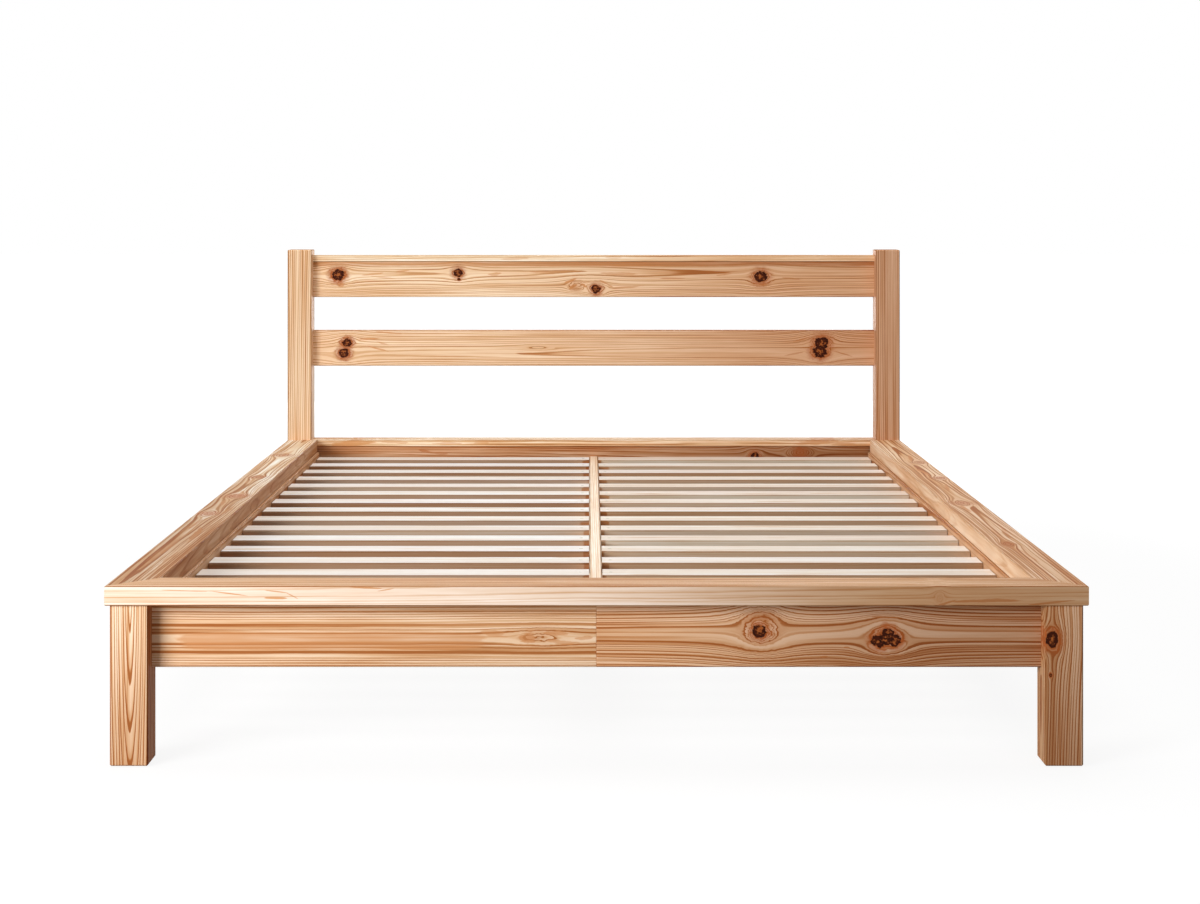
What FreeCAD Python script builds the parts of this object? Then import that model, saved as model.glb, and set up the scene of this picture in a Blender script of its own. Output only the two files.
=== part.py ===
import FreeCAD, Part

import math
import os

# Low slatted bed in solid knotty pine, full size, with a two-rail headboard.
#
# A frame of flat cap rails, mitred at the foot, lies on two square front legs, two side boards and a
# two-piece front apron. The head end hangs between two square posts that carry the headboard rails.
# The mattress lies inside the cap rails on two rows of slats. Their outer ends sit in rebated slat
# rails, and their inner ends are screwed to the shoulders of a T-shaped centre beam with its own leg.
#
# The wood is joined by mortises and tenons, by tongues and grooves, and by a loose tongue across each
# mitre. The side boards hook into posts and legs, so that the bed comes apart.
#
# Millimetres. The origin is on the floor under the middle of the bed. +X is to the right seen from
# the foot end, +Y points to the headboard, +Z is up.

# ---- mattress and the opening that takes it
MATTRESS_WIDTH = 1372.0
MATTRESS_LENGTH = 1905.0
SIDE_CLEARANCE = 9.0        # each side, between mattress and cap rail
END_CLEARANCE = 13.0        # each end
MATTRESS_DROP = 42.0        # slat tops below the top of the cap rails

# ---- heights above the floor
FRAME_HEIGHT = 285.0        # top of the cap rails
HEADBOARD_HEIGHT = 763.0    # top of the posts

# ---- legs and posts
POST_SIZE = 60.0
LEG_SIZE = 60.0
CENTRE_LEG_SIZE = 55.0
CAP_OVERHANG = 7.0          # cap rails stand out past the front legs

# ---- cap rails
CAP_WIDTH = 75.0
CAP_THICKNESS = 31.0

# ---- boards under the cap rails
BOARD_THICKNESS = 22.0
APRON_HEIGHT = 104.0
APRON_SETBACK = 30.0        # apron face behind the front of the legs
SIDE_SETBACK = 32.0         # side board's outer face inside the cap's outer edge
SPLICE_LENGTH = 260.0       # block behind the seam in the two-piece apron
SPLICE_THICKNESS = 25.0
SPLICE_MARGIN = 4.0         # between the block and the apron's lower edge
SEAM_ARRIS = 0.8            # broken edge each side of the seam

# ---- headboard
HEADBOARD_RAIL_HEIGHT = 90.0
HEADBOARD_RAIL_THICKNESS = 22.0
HEADBOARD_RAIL_SETBACK = 34.0   # rail faces behind the front of the posts
HEADBOARD_RAIL_GAP = 84.0       # open height between the two rails
POST_STAND = 14.0               # posts above the strip on the top rail
STRIP_THICKNESS = 16.0
STRIP_OVERHANG = 8.0            # headboard strip past the face of its rail
HEAD_RAIL_SETBACK = 10.0        # head rail's face behind the front of the posts

# ---- slats and what carries them
SLAT_COUNT = 16             # in each of the two rows
SLAT_WIDTH = 64.0
SLAT_THICKNESS = 18.0
SLAT_ARRIS = 2.5            # broken long edges
SLAT_PLAY = 1.5             # at each end of a slat
SLAT_FOOT_GAP = 16.0        # first slat from the foot end of the slat rails
SLAT_HEAD_GAP = 6.0         # last slat from the head end
SEAT_WIDTH = 32.0           # bearing of a slat on its rail or beam
LEDGE_WIDTH = 5.0           # slat rail's upstand past the inner edge of the cap
RAIL_DEPTH = 40.0           # slat rail below the seat
RIB_WIDTH = 20.0            # centre beam's rib between the two rows of slats
BEAM_DEPTH = 55.0           # centre beam below the seat

# ---- mortises and tenons
TENON_LENGTH = 30.0
TENON_THICKNESS = 10.0
TENON_SHOULDER = 18.0       # above and below the tenon
TENON_CHEEK = 3.0           # shoulder on the side away from the mattress
STUB_SIZE = 28.0            # square stub tenons on top of the legs
STUB_HEIGHT = 10.0

# ---- tongues and grooves
TONGUE_WIDTH = 8.0
TONGUE_HEIGHT = 8.0
STRIP_TONGUE_HEIGHT = 6.0   # under the thin strips
TONGUE_STOP = 20.0          # slat rail's tongue ends short of the hook-in fittings
MITRE_TONGUE_LENGTH = 56.0  # loose tongue along the mitre
MITRE_TONGUE_WIDTH = 30.0   # and across it
MITRE_TONGUE_THICKNESS = 4.0
MITRE_TONGUE_DEPTH = 7.0    # below the top of the cap rails

# ---- room in the joints
SIDE_PLAY = 0.2             # beside a tenon or tongue
GLUE_ROOM = 1.0             # beyond its end

# ---- screws: length, diameter and head diameter
WOOD_SCREW = (35.0, 4.0, 8.0)
BRACKET_SCREW = (15.0, 3.5, 7.0)
SCREW_FLATS = 6             # flats round a screw and its hole
SCREW_PLAY = 0.1
SLAT_SCREW_INSET = 15.0     # from the inner end of the slat
SPLICE_SCREW_INSET = 32.0   # from the end of the splice block
SPLICE_SCREW_SPREAD = 36.0  # height between the block's screws

# ---- hook-in fittings between side boards and posts or legs
PLATE_THICKNESS = 2.5
PLATE_WIDTH = 16.0
PLATE_HEIGHT = 90.0
PLATE_SCREW_INSET = 7.0     # from the ends of the plate
PLATE_PLAY = 0.1            # round a plate in its recess
HOOK_THICKNESS = 4.0
HOOK_SPACING = 40.0
HOOK_NECK = 12.0            # height of the neck in its slot
HOOK_LIP = 8.0              # how far the lip drops behind the socket plate
HOOK_LIP_THICKNESS = 4.0
HOOK_PLAY = 0.5
POCKET_PLAY = 1.0           # room behind the hooks

# ---- steel hangers at the ends of the centre beam
HANGER_STEEL = 2.5
HANGER_HEIGHT = 46.0
HANGER_REACH = 50.0
HANGER_FLANGE = 25.0
HANGER_PLAY = 0.3
HANGER_SCREW_MARGIN = 10.0  # from the top and bottom of a flange

# ---- floor glides
GLIDE_SIZE = 40.0           # square pads
GLIDE_THICKNESS = 3.0
GLIDE_STAND = 1.5           # what shows below the leg
GLIDE_CORNER = 4.0          # cut corners
GLIDE_PLAY = 0.3

# ---- finish
ARRIS = 1.5                 # broken edges of boards
POST_ARRIS = 2.0            # and of legs and posts

# ---- places across the bed
half_opening = MATTRESS_WIDTH / 2 + SIDE_CLEARANCE
half_width = half_opening + CAP_WIDTH
post_inner_x = half_width - POST_SIZE
leg_outer_x = half_width - CAP_OVERHANG
leg_inner_x = leg_outer_x - LEG_SIZE
leg_x = leg_outer_x - LEG_SIZE / 2
side_outer_x = half_width - SIDE_SETBACK
side_inner_x = side_outer_x - BOARD_THICKNESS
side_x = (side_outer_x + side_inner_x) / 2
upstand_x = half_opening - LEDGE_WIDTH
seat_inner_x = upstand_x - SEAT_WIDTH
half_rib = RIB_WIDTH / 2
half_beam = half_rib + SEAT_WIDTH
slat_x = (half_rib + SLAT_PLAY, upstand_x - SLAT_PLAY)

# ---- places along the bed
opening_length = MATTRESS_LENGTH + 2 * END_CLEARANCE
head_y = (CAP_WIDTH + opening_length + POST_SIZE) / 2
foot_y = -head_y
cap_inner_y = foot_y + CAP_WIDTH
post_front_y = head_y - POST_SIZE
leg_front_y = foot_y + CAP_OVERHANG
leg_back_y = leg_front_y + LEG_SIZE
leg_y = leg_front_y + LEG_SIZE / 2
apron_front_y = leg_front_y + APRON_SETBACK
apron_back_y = apron_front_y + BOARD_THICKNESS
block_back_y = apron_back_y + SPLICE_THICKNESS
head_rail_front_y = post_front_y + HEAD_RAIL_SETBACK
head_rail_back_y = head_rail_front_y + BOARD_THICKNESS
board_rail_front_y = post_front_y + HEADBOARD_RAIL_SETBACK
board_rail_back_y = board_rail_front_y + HEADBOARD_RAIL_THICKNESS
beam_middle_y = (block_back_y + head_rail_front_y) / 2
first_slat_y = leg_back_y + SLAT_FOOT_GAP
last_slat_y = post_front_y - SLAT_HEAD_GAP - SLAT_WIDTH
slat_pitch = (last_slat_y - first_slat_y) / (SLAT_COUNT - 1)

# ---- heights
cap_bottom_z = FRAME_HEIGHT - CAP_THICKNESS
board_bottom_z = cap_bottom_z - APRON_HEIGHT
slat_top_z = FRAME_HEIGHT - MATTRESS_DROP
seat_z = slat_top_z - SLAT_THICKNESS
beam_bottom_z = seat_z - BEAM_DEPTH
head_rail_top_z = FRAME_HEIGHT - STRIP_THICKNESS
top_strip_top_z = HEADBOARD_HEIGHT - POST_STAND
top_rail_top_z = top_strip_top_z - STRIP_THICKNESS
top_rail_bottom_z = top_rail_top_z - HEADBOARD_RAIL_HEIGHT
middle_rail_top_z = top_rail_bottom_z - HEADBOARD_RAIL_GAP
middle_rail_bottom_z = middle_rail_top_z - HEADBOARD_RAIL_HEIGHT

# ---- spans that several pieces share, from the low end to the high end
apron_y = (apron_front_y, apron_back_y)
head_rail_y = (head_rail_front_y, head_rail_back_y)
headboard_rail_y = (board_rail_front_y, board_rail_back_y)
side_board_x = (side_inner_x, side_outer_x)
side_board_y = (leg_back_y, post_front_y)
board_z = (board_bottom_z, cap_bottom_z)
head_rail_z = (board_bottom_z, head_rail_top_z)
top_rail_z = (top_rail_bottom_z, top_rail_top_z)
middle_rail_z = (middle_rail_bottom_z, middle_rail_top_z)

X = FreeCAD.Vector(1, 0, 0)
Y = FreeCAD.Vector(0, 1, 0)
Z = FreeCAD.Vector(0, 0, 1)
CENTRE = FreeCAD.Vector(0, 0, 0)
SAME = 1e-6     # places closer than this are one place

pieces = {}     # name: a solid, or a list of like solids
joins = {}      # name: tenons and tongues to join to it
cuts = {}       # name: mortises, grooves and recesses to cut from it
holes = {}      # name: screw holes to drill in it


# ---- spans
def centred(middle, width):
    return (middle - width / 2, middle + width / 2)


def widened(span, room):
    return (span[0] - room, span[1] + room)


def both_hands(x):
    """A span across the right half of the bed and its mirror image, each with its name."""
    return (("right", x), ("left", (-x[1], -x[0])))


# ---- making and easing solids
def point(x, y, z):
    return FreeCAD.Vector(x, y, z)


def block(x, y, z):
    """A block over a span along each axis."""
    return Part.makeBox(x[1] - x[0], y[1] - y[0], z[1] - z[0], point(x[0], y[0], z[0]))


def extrusion(corners, way):
    """A prism over a closed outline of corners, as far as a vector."""
    return Part.Face(Part.makePolygon(corners + corners[:1])).extrude(way)


def edges_along(shape, axis):
    """The straight edges that run along an axis."""
    found = []
    for edge in shape.Edges:
        run = edge.Vertexes[-1].Point - edge.Vertexes[0].Point
        if run.Length > SAME and abs(abs(run.dot(axis)) - run.Length) < SAME:
            found.append(edge)
    return found


def edges_at(shape, axis, place):
    """The edges that lie in the plane square to an axis at a place on it."""
    found = []
    for edge in shape.Edges:
        if all(abs(vertex.Point.dot(axis) - place) < SAME for vertex in edge.Vertexes):
            found.append(edge)
    return found


def eased_block(x, y, z, axis, arris=ARRIS):
    """A board with its long edges broken."""
    shape = block(x, y, z)
    return shape.makeChamfer(arris, edges_along(shape, axis))


def mirrored(shape):
    return shape.mirror(CENTRE, X)


def faceted_pin(profile, place, direction):
    """A pin with flat sides: profile is (radius, depth) from its head to its tip."""
    sections = []
    for radius, depth in profile:
        corners = []
        for n in range(SCREW_FLATS):
            angle = 2 * math.pi * (n + 0.5) / SCREW_FLATS
            corners.append(point(radius * math.cos(angle), radius * math.sin(angle), depth))
        sections.append(Part.makePolygon(corners + corners[:1]))
    shape = Part.makeLoft(sections, True, True)
    shape.Placement = FreeCAD.Placement(place, FreeCAD.Rotation(Z, direction))
    return shape


# ---- joints
def cut_from(name, tool):
    """Notes a mortise, groove or recess that is cut from a piece once every joint is known."""
    cuts.setdefault(name, []).append(tool)


def add_to_group(name, solid):
    pieces.setdefault(name, []).append(solid)


def tenon(owner, others, x, y, z, axis):
    """A tenon or tongue on its owner, and its mortise or groove in others, with room beyond it on an axis."""
    joins.setdefault(owner, []).append(block(x, y, z))
    room = [GLUE_ROOM if way is axis else SIDE_PLAY for way in (X, Y, Z)]
    for other in others:
        cut_from(other, block(widened(x, room[0]), widened(y, room[1]), widened(z, room[2])))


def rail_tenons(rail, upright, x_end, y, z):
    """A tenon on each end of a rail, into the left and the right upright."""
    tenon_y = (y[1] - TENON_CHEEK - TENON_THICKNESS, y[1] - TENON_CHEEK)
    for hand, x in both_hands((x_end, x_end + TENON_LENGTH)):
        tenon(rail, [f"{upright}_{hand}"], x, tenon_y, widened(z, -TENON_SHOULDER), X)


def screw(group, place, direction, sizes, names):
    """Drives one countersunk screw of a group through and into the named pieces."""
    length, diameter, head = sizes
    cone = (head - diameter) / 2
    profile = [(head / 2, 0), (diameter / 2, cone), (diameter / 2, length)]
    add_to_group(group, faceted_pin(profile, place, direction))
    hole = [(radius + SCREW_PLAY, depth) for radius, depth in profile[:-1]]
    hole.append((diameter / 2 + SCREW_PLAY, length + SCREW_PLAY))
    for name in names:
        holes.setdefault(name, []).append(faceted_pin(hole, place, direction))


# ---- headboard
def make_posts():
    post = block((post_inner_x, half_width), (post_front_y, head_y), (GLIDE_STAND, HEADBOARD_HEIGHT))
    edges = edges_along(post, Z) + edges_at(post, Z, HEADBOARD_HEIGHT) + edges_at(post, Z, GLIDE_STAND)
    post = post.makeChamfer(POST_ARRIS, edges)
    pieces["headboard_post_right"] = post
    pieces["headboard_post_left"] = mirrored(post)


def make_headboard_rails():
    x = (-post_inner_x, post_inner_x)
    for name, z in (("headboard_top_rail", top_rail_z), ("headboard_middle_rail", middle_rail_z)):
        pieces[name] = eased_block(x, headboard_rail_y, z, X)
        rail_tenons(name, "headboard_post", post_inner_x, headboard_rail_y, z)
    strip_y = (board_rail_front_y - STRIP_OVERHANG, head_y)
    pieces["headboard_top_strip"] = eased_block(x, strip_y, (top_rail_top_z, top_strip_top_z), X)
    strip_tongue("headboard_top_rail", "headboard_top_strip", headboard_rail_y, top_rail_top_z)


def make_head_rail():
    """The board on edge between the posts, with a strip on it at the height of the cap rails."""
    x = (-post_inner_x, post_inner_x)
    pieces["head_rail"] = eased_block(x, head_rail_y, head_rail_z, X)
    rail_tenons("head_rail", "headboard_post", post_inner_x, head_rail_y, head_rail_z)
    strip_z = (head_rail_top_z, FRAME_HEIGHT)
    pieces["head_strip"] = eased_block(x, (post_front_y, head_y), strip_z, X)
    strip_tongue("head_rail", "head_strip", head_rail_y, head_rail_top_z)


def strip_tongue(rail, strip, rail_y, z):
    """A tongue along the top of a rail, in a groove under its strip."""
    y = centred(sum(rail_y) / 2, TONGUE_WIDTH)
    tenon(rail, [strip], (-post_inner_x, post_inner_x), y, (z, z + STRIP_TONGUE_HEIGHT), Z)


# ---- foot end
def make_front_legs():
    leg = block((leg_inner_x, leg_outer_x), (leg_front_y, leg_back_y), (GLIDE_STAND, cap_bottom_z))
    leg = leg.makeChamfer(POST_ARRIS, edges_along(leg, Z) + edges_at(leg, Z, GLIDE_STAND))
    pieces["front_leg_right"] = leg
    pieces["front_leg_left"] = mirrored(leg)
    stub_y = centred(leg_y, STUB_SIZE)
    stub_z = (cap_bottom_z, cap_bottom_z + STUB_HEIGHT)
    for hand, stub_x in both_hands(centred(leg_x, STUB_SIZE)):
        tenon(f"front_leg_{hand}", ["front_cap", f"side_cap_{hand}"], stub_x, stub_y, stub_z, Z)


def make_aprons():
    """The apron is two boards that meet at the middle of the bed, each tenoned into its leg."""
    board = block((0, leg_inner_x), apron_y, board_z)
    seam = [edge for edge in edges_along(board, Z) if edge.Vertexes[0].Point.x < SAME]
    board = board.makeChamfer(SEAM_ARRIS, seam)
    board = board.makeChamfer(ARRIS, edges_along(board, X))
    pieces["front_apron_right"] = board
    pieces["front_apron_left"] = mirrored(board)
    tongue_y = centred(sum(apron_y) / 2, TONGUE_WIDTH)
    tongue_z = (cap_bottom_z, cap_bottom_z + TONGUE_HEIGHT)
    tenon_y = (apron_front_y + TENON_CHEEK, apron_front_y + TENON_CHEEK + TENON_THICKNESS)
    tenon_z = widened(board_z, -TENON_SHOULDER)
    for hand, tongue_x in both_hands((0, leg_inner_x)):
        tenon(f"front_apron_{hand}", ["front_cap"], tongue_x, tongue_y, tongue_z, Z)
    for hand, tenon_x in both_hands((leg_inner_x, leg_inner_x + TENON_LENGTH)):
        tenon(f"front_apron_{hand}", [f"front_leg_{hand}"], tenon_x, tenon_y, tenon_z, X)


def make_splice_block():
    """The block behind the seam, glued and screwed to both boards."""
    z = (board_bottom_z + SPLICE_MARGIN, seat_z - SPLICE_MARGIN)
    pieces["apron_splice_block"] = eased_block(centred(0, SPLICE_LENGTH), (apron_back_y, block_back_y), z, X)
    half_run = SPLICE_LENGTH / 2 - SPLICE_SCREW_INSET
    for apron, x in (("front_apron_left", -half_run), ("front_apron_right", half_run)):
        for height in centred(sum(z) / 2, SPLICE_SCREW_SPREAD):
            place = point(x, block_back_y, height)
            screw("wood_screws", place, -Y, WOOD_SCREW, ["apron_splice_block", apron])


# ---- cap rails
def make_caps():
    """Three flat rails, mitred at the two front corners and square against the posts."""
    up = Z * CAP_THICKNESS
    outer = point(half_width, foot_y, cap_bottom_z)
    inner = point(half_opening, cap_inner_y, cap_bottom_z)
    far_outer = point(-half_width, foot_y, cap_bottom_z)
    far_inner = point(-half_opening, cap_inner_y, cap_bottom_z)
    front = extrusion([far_outer, outer, inner, far_inner], up)
    pieces["front_cap"] = front.makeChamfer(ARRIS, edges_along(front, X))
    head_outer = point(half_width, post_front_y, cap_bottom_z)
    head_inner = point(half_opening, post_front_y, cap_bottom_z)
    side = extrusion([outer, head_outer, head_inner, inner], up)
    side = side.makeChamfer(ARRIS, edges_along(side, Y))
    pieces["side_cap_right"] = side
    pieces["side_cap_left"] = mirrored(side)


def mitre_tongue(room_across, room_along):
    """The loose tongue across the right mitre; with room, the slot for it."""
    outer = point(half_width, foot_y, 0)
    inner = point(half_opening, cap_inner_y, 0)
    along = (inner - outer).normalize() * (MITRE_TONGUE_LENGTH / 2 + room_along)
    across = point(-along.y, along.x, 0).normalize() * (MITRE_TONGUE_WIDTH / 2 + room_across)
    low = FRAME_HEIGHT - MITRE_TONGUE_DEPTH - MITRE_TONGUE_THICKNESS - room_along
    middle = (outer + inner) / 2 + Z * low
    corners = [middle + along + across, middle - along + across, middle - along - across]
    corners.append(middle + along - across)
    return extrusion(corners, Z * (MITRE_TONGUE_THICKNESS + 2 * room_along))


def make_mitre_tongues():
    tongue = mitre_tongue(0, 0)
    slot = mitre_tongue(GLUE_ROOM, SIDE_PLAY)
    for hand, solid, hole in (("right", tongue, slot), ("left", mirrored(tongue), mirrored(slot))):
        add_to_group("mitre_tongues", solid)
        cut_from("front_cap", hole)
        cut_from(f"side_cap_{hand}", hole)


# ---- side boards and slat rails
def make_side_boards():
    board = eased_block(side_board_x, side_board_y, board_z, Y)
    pieces["side_board_right"] = board
    pieces["side_board_left"] = mirrored(board)
    tongue_z = (cap_bottom_z, cap_bottom_z + TONGUE_HEIGHT)
    for hand, tongue_x in both_hands(centred(side_x, TONGUE_WIDTH)):
        tenon(f"side_board_{hand}", [f"side_cap_{hand}"], tongue_x, side_board_y, tongue_z, Z)


def make_slat_rails():
    """Rebated rails: the slats lie on the seat, and their ends stop at the upstand under the cap."""
    rail_bottom_z = seat_z - RAIL_DEPTH
    corners = [
        point(side_inner_x, leg_back_y, rail_bottom_z),
        point(side_inner_x, leg_back_y, cap_bottom_z),
        point(upstand_x, leg_back_y, cap_bottom_z),
        point(upstand_x, leg_back_y, seat_z),
        point(seat_inner_x, leg_back_y, seat_z),
        point(seat_inner_x, leg_back_y, rail_bottom_z),
    ]
    rail = extrusion(corners, Y * (post_front_y - leg_back_y))
    free_edges = []
    for edge in edges_along(rail, Y):
        corner = edge.Vertexes[0].Point
        on_upstand = abs(corner.x - upstand_x) < SAME and corner.z > seat_z + SAME
        if on_upstand or abs(corner.x - seat_inner_x) < SAME:
            free_edges.append(edge)
    rail = rail.makeChamfer(ARRIS, free_edges)
    pieces["slat_rail_right"] = rail
    pieces["slat_rail_left"] = mirrored(rail)
    tongue_y = widened(side_board_y, -TONGUE_STOP)
    tongue_z = centred(rail_bottom_z + RAIL_DEPTH / 2, TONGUE_WIDTH)
    for hand, tongue_x in both_hands((side_inner_x, side_inner_x + TONGUE_HEIGHT)):
        tenon(f"slat_rail_{hand}", [f"side_board_{hand}"], tongue_x, tongue_y, tongue_z, X)


# ---- centre beam
def make_centre_beam():
    """A T-shaped beam: a rib between the rows of slats, and a shoulder under each row."""
    corners = [
        point(-half_beam, block_back_y, beam_bottom_z),
        point(half_beam, block_back_y, beam_bottom_z),
        point(half_beam, block_back_y, seat_z),
        point(half_rib, block_back_y, seat_z),
        point(half_rib, block_back_y, slat_top_z),
        point(-half_rib, block_back_y, slat_top_z),
        point(-half_rib, block_back_y, seat_z),
        point(-half_beam, block_back_y, seat_z),
    ]
    beam = extrusion(corners, Y * (head_rail_front_y - block_back_y))
    free_edges = []
    for edge in edges_along(beam, Y):
        corner = edge.Vertexes[0].Point
        if corner.z > slat_top_z - SAME or abs(abs(corner.x) - half_beam) < SAME:
            free_edges.append(edge)
    pieces["centre_beam"] = beam.makeChamfer(ARRIS, free_edges)


def make_centre_leg():
    y = centred(beam_middle_y, CENTRE_LEG_SIZE)
    leg = block(centred(0, CENTRE_LEG_SIZE), y, (GLIDE_STAND, beam_bottom_z))
    leg = leg.makeChamfer(POST_ARRIS, edges_along(leg, Z) + edges_at(leg, Z, GLIDE_STAND))
    pieces["centre_leg"] = leg
    stub_z = (beam_bottom_z, beam_bottom_z + STUB_HEIGHT)
    tenon("centre_leg", ["centre_beam"], centred(0, STUB_SIZE), centred(beam_middle_y, STUB_SIZE), stub_z, Z)


def make_hanger(face_y, inward, carrier):
    """A bent steel hanger screwed to a face, with a seat and two cheeks round the end of the beam."""
    inside = half_beam + HANGER_PLAY
    outside = inside + HANGER_STEEL
    wing = outside + HANGER_FLANGE
    low = beam_bottom_z - HANGER_STEEL
    high = low + HANGER_HEIGHT
    steel_y = face_y + inward * HANGER_STEEL
    reach = sorted((face_y, face_y + inward * HANGER_REACH))
    channel = block((-outside, outside), reach, (low, high))
    flanges = block((-wing, wing), sorted((face_y, steel_y)), (low, high))
    room = block((-inside, inside), reach, (beam_bottom_z, high))
    shape = channel.fuse(flanges).cut(room).removeSplitter()
    corners = [edge for edge in edges_along(shape, Y) if abs(edge.Vertexes[0].Point.x) > wing - SAME]
    add_to_group("beam_hangers", shape.makeChamfer(HANGER_STEEL, corners))
    for x in (-outside - HANGER_FLANGE / 2, outside + HANGER_FLANGE / 2):
        for z in (low + HANGER_SCREW_MARGIN, high - HANGER_SCREW_MARGIN):
            names = ["beam_hangers", carrier]
            screw("bracket_screws", point(x, steel_y, z), Y * -inward, BRACKET_SCREW, names)


# ---- hook-in fittings, each in its own frame: +Y goes into the post or leg, whose face is at y = 0
def make_hook_plate():
    """A plate with two hooks."""
    plate = block(centred(0, PLATE_WIDTH), (-PLATE_THICKNESS, 0), centred(0, PLATE_HEIGHT))
    behind = PLATE_THICKNESS + HOOK_PLAY
    tip = behind + HOOK_LIP_THICKNESS
    side = -HOOK_THICKNESS / 2
    for middle in centred(0, HOOK_SPACING):
        low, high = centred(middle, HOOK_NECK)
        corners = [
            point(side, 0, low),
            point(side, behind, low),
            point(side, behind, low - HOOK_LIP),
            point(side, tip - HOOK_LIP_THICKNESS / 2, low - HOOK_LIP),
            point(side, tip, low - HOOK_LIP / 2),
            point(side, tip, high - HOOK_LIP_THICKNESS),
            point(side, behind, high),
            point(side, 0, high),
        ]
        plate = plate.fuse(extrusion(corners, X * HOOK_THICKNESS))
    return plate.removeSplitter()


def make_socket_plate():
    """The slotted plate that the hooks drop into, let in flush with the face."""
    plate = block(centred(0, PLATE_WIDTH), (0, PLATE_THICKNESS), centred(0, PLATE_HEIGHT))
    slot_x = widened(centred(0, HOOK_THICKNESS), HOOK_PLAY)
    slots = []
    for middle in centred(0, HOOK_SPACING):
        low, high = centred(middle, HOOK_NECK)
        slots.append(block(slot_x, widened((0, PLATE_THICKNESS), SAME), (low - HOOK_PLAY, high + HOOK_LIP)))
    return plate.cut(slots)


def make_pocket():
    """The recess for the socket plate, with the hollow behind it for the hooks."""
    plate_x = widened(centred(0, PLATE_WIDTH), PLATE_PLAY)
    plate_z = widened(centred(0, PLATE_HEIGHT), PLATE_PLAY)
    recess = block(plate_x, (-SAME, PLATE_THICKNESS), plate_z)
    depth = PLATE_THICKNESS + HOOK_PLAY + HOOK_LIP_THICKNESS + POCKET_PLAY
    hook_x = widened(centred(0, HOOK_THICKNESS), HOOK_PLAY)
    half_hooks = HOOK_SPACING / 2 + HOOK_NECK / 2 + HOOK_LIP + POCKET_PLAY
    return recess.fuse(block(hook_x, (0, depth), (-half_hooks, half_hooks)))


def make_recess():
    """The recess for the hook plate in the end of the side board."""
    plate_x = widened(centred(0, PLATE_WIDTH), PLATE_PLAY)
    return block(plate_x, (-PLATE_THICKNESS, SAME), widened(centred(0, PLATE_HEIGHT), PLATE_PLAY))


def moved(shape, place, direction):
    """A fitting moved from its own frame to its place, with its +Y turned to a direction."""
    placed = shape.copy()
    placed.Placement = FreeCAD.Placement(place, FreeCAD.Rotation(Z, 0 if direction.y > 0 else 180))
    return placed


def make_bed_fittings():
    """Hook plates on the ends of the side boards, and socket plates in the posts and legs."""
    hook_plate = make_hook_plate()
    socket_plate = make_socket_plate()
    pocket = make_pocket()
    recess = make_recess()
    middle_z = sum(board_z) / 2
    for upright, y, into in (("headboard_post", post_front_y, Y), ("front_leg", leg_back_y, -Y)):
        for hand, x in (("right", side_x), ("left", -side_x)):
            board = f"side_board_{hand}"
            holder = f"{upright}_{hand}"
            place = point(x, y, middle_z)
            add_to_group("bed_hook_plates", moved(hook_plate, place, into))
            add_to_group("bed_socket_plates", moved(socket_plate, place, into))
            cut_from(holder, moved(pocket, place, into))
            cut_from(board, moved(recess, place, into))
            for z in centred(middle_z, PLATE_HEIGHT - 2 * PLATE_SCREW_INSET):
                at = point(x, y, z)
                screw("bracket_screws", at, into, BRACKET_SCREW, ["bed_socket_plates", holder])
                screw("bracket_screws", at, -into, BRACKET_SCREW, ["bed_hook_plates", board])


# ---- slats
def make_slats():
    """Two rows of slats, each screwed to the centre beam."""
    blank = eased_block(slat_x, (0, SLAT_WIDTH), (seat_z, slat_top_z), X, SLAT_ARRIS)
    for n in range(SLAT_COUNT):
        y = first_slat_y + n * slat_pitch
        slat = blank.translated(Y * y)
        for hand, side, solid in (("right", 1, slat), ("left", -1, mirrored(slat))):
            name = f"slat_{hand}_{n + 1:02d}"
            pieces[name] = solid
            place = point(side * (slat_x[0] + SLAT_SCREW_INSET), y + SLAT_WIDTH / 2, slat_top_z)
            screw("wood_screws", place, -Z, WOOD_SCREW, [name, "centre_beam"])


# ---- floor glides
def make_glides():
    """Square pads let into the ends of the legs and posts."""
    feet = [("centre_leg", 0, beam_middle_y)]
    for hand, side in (("right", 1), ("left", -1)):
        feet.append((f"front_leg_{hand}", side * leg_x, leg_y))
        feet.append((f"headboard_post_{hand}", side * (half_width - POST_SIZE / 2), head_y - POST_SIZE / 2))
    for name, x, y in feet:
        pad_x = centred(x, GLIDE_SIZE)
        pad_y = centred(y, GLIDE_SIZE)
        add_to_group("foot_glides", eased_block(pad_x, pad_y, (0, GLIDE_THICKNESS), Z, GLIDE_CORNER))
        cut_from(name, block(widened(pad_x, GLIDE_PLAY), widened(pad_y, GLIDE_PLAY), (0, GLIDE_THICKNESS)))


def finished(name):
    """A piece or a group of like pieces, with its tenons and tongues on and its holes cut."""
    solids = pieces[name]
    if not isinstance(solids, list):
        solids = [solids]
    if name in joins:
        solids = [solid.fuse(joins[name]).removeSplitter() for solid in solids]
    for tool in cuts.get(name, []):
        solids = [solid.cut(tool) for solid in solids]
    if name in holes:
        solids = [solid.cut(holes[name]) for solid in solids]
    shapes = [part for solid in solids for part in solid.Solids]
    return shapes[0] if len(shapes) == 1 else Part.makeCompound(shapes)


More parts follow.
